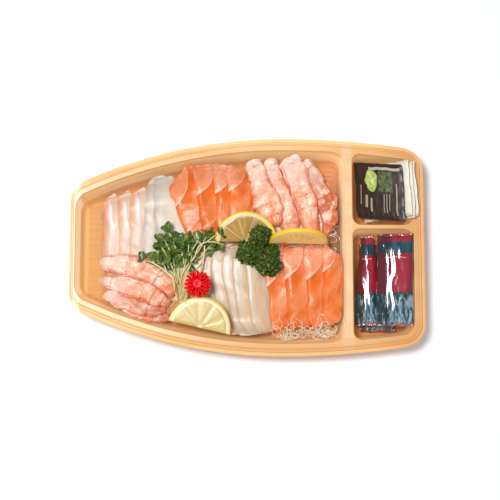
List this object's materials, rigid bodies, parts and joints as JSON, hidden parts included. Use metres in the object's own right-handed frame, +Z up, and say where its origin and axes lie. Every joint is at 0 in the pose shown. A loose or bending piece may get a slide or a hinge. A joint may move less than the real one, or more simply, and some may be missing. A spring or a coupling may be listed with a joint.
{
  "type": "sashimi plate",
  "caption": "Boat-shaped sashimi tray with a clear stepped insert, sliced fish, shrimps, lemon and herbs on radish shreds, and sachets of condiment in two small pockets.",
  "frame": {"origin": "middle of the tray's bounding box, on the surface it stands on", "axes": "+X from the bow to the stern with the two small pockets, +Y to the far side with the square pocket, +Z up"},
  "size_m": [0.336, 0.2074, 0.0497],
  "materials": {
    "tray": "thin moulded sheet with a printed wood grain",
    "clear": "clear moulded sheet",
    "daikon": "moist white radish shreds",
    "bream": "moist pale raw fish with a pink edge",
    "salmon": "moist orange raw fish with white fat lines",
    "shrimp": "moist boiled shrimp with red lines",
    "lemon": "cut lemon with a yellow rind",
    "flounder": "moist white raw fish",
    "sprouts": "fresh green leaves on white stems",
    "parsley": "curled green leaf",
    "flower": "glossy red garnish flower",
    "wasabi": "printed film, dark brown with green shapes",
    "paper": "pale backs of printed sachets",
    "soy": "glossy film filled with dark sauce, red and teal bands"
  },
  "bodies": {
    "root": {"tray": "tray", "insert": "clear", "daikon_bed": "daikon", "bream_1": "bream", "bream_2": "bream", "bream_3": "bream", "bream_4": "bream", "bream_5": "bream", "bream_6": "bream", "salmon_upper_1": "salmon", "salmon_upper_2": "salmon", "salmon_upper_3": "salmon", "salmon_upper_4": "salmon", "shrimp_upper_1": "shrimp", "shrimp_upper_2": "shrimp", "shrimp_upper_3": "shrimp", "shrimp_upper_4": "shrimp", "shrimp_lower_1": "shrimp", "shrimp_lower_2": "shrimp", "shrimp_lower_3": "shrimp", "shrimp_lower_4": "shrimp", "lemon_upper": "lemon", "lemon_middle": "lemon", "flounder_1": "flounder", "flounder_2": "flounder", "flounder_3": "flounder", "flounder_4": "flounder", "flounder_5": "flounder", "salmon_lower_1": "salmon", "salmon_lower_2": "salmon", "salmon_lower_3": "salmon", "salmon_lower_4": "salmon", "lemon_lower": "lemon", "sprouts": "sprouts", "parsley": "parsley", "flower": "flower", "wasabi_sachet_1": "paper", "wasabi_sachet_2": "paper", "wasabi_sachet_3": "paper", "wasabi_sachet_4": "wasabi", "soy_sachet_1": "soy", "soy_sachet_2": "soy", "soy_sachet_3": "soy"}
  },
  "joints": []
}
